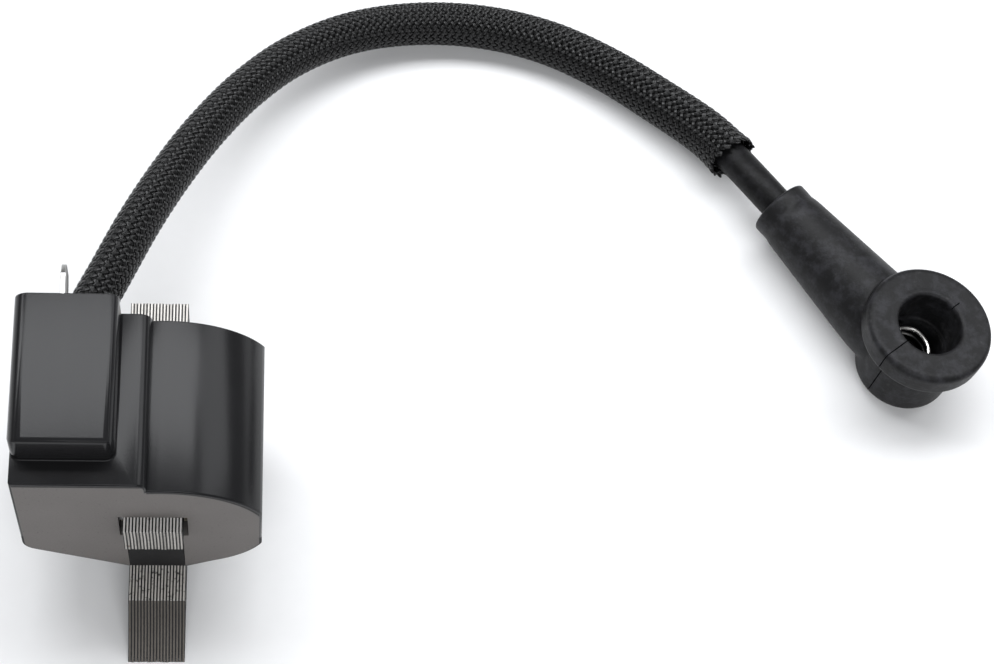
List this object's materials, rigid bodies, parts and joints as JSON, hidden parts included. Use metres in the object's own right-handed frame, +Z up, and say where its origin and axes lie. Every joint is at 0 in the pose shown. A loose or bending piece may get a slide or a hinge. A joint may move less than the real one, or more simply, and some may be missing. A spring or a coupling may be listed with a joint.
{
  "type": "ignition coil",
  "caption": "Small engine ignition coil: laminated U core, potted plastic housing with electronics box and blade terminal, sleeved plug lead and rubber elbow plug cap.",
  "frame": {"origin": "on the surface that the back of the outer core leg rests on, below the middle of the box around the core, housing and terminal, which leaves out the lead and its cap", "axes": "+X across the core sheets, towards the drum side; +Y along the coil axis, from the pole faces towards the yoke; +Z up, from the outer core leg towards the electronics box"},
  "size_m": [0.1584, 0.1203, 0.0502],
  "materials": {
    "core_steel": "bare punched sheet edges, light specks of rust",
    "rivet_steel": "satin",
    "housing_plastic": "black moulded plastic, satin gloss",
    "potting_resin": "matte grey-brown cast resin",
    "bobbin_plastic": "natural nylon",
    "copper_wire": "enamelled copper",
    "board_laminate": "green laminate",
    "component_black": "black moulding compound",
    "capacitor_case": "yellow box",
    "resistor_body": "lacquered",
    "tinned_metal": "bright tin plate",
    "brass_contact": "plain brass",
    "lead_insulation": "smooth black insulation",
    "braid": "black braided monofilament sleeve",
    "cap_rubber": "black moulded rubber, satin"
  },
  "bodies": {
    "coil": {"core_laminations": "core_steel", "core_rivets": "rivet_steel", "housing": "housing_plastic", "potting": "potting_resin", "primary_bobbin": "bobbin_plastic", "primary_winding": "copper_wire", "secondary_bobbin": "bobbin_plastic", "secondary_winding": "copper_wire", "coil_wires": "copper_wire", "circuit_board": "board_laminate", "power_transistor": "component_black", "driver_transistor": "component_black", "capacitor": "capacitor_case", "diode": "component_black", "resistors": "resistor_body", "kill_terminal": "tinned_metal", "ground_strip": "tinned_metal", "hv_contact": "brass_contact", "lead_conductor": "copper_wire", "hv_lead": "lead_insulation", "braided_sleeve": "braid"},
    "cap": {"boot": "cap_rubber", "spring_terminal": "tinned_metal"}
  },
  "joints": [
    {"name": "cap_swivel", "type": "hinge", "parent": "coil", "child": "cap", "pos_m": [0.10681, 0.05505, 0.00775], "axis": [-0.617, 0.7869, 0], "range_deg": [-90, 90]}
  ]
}
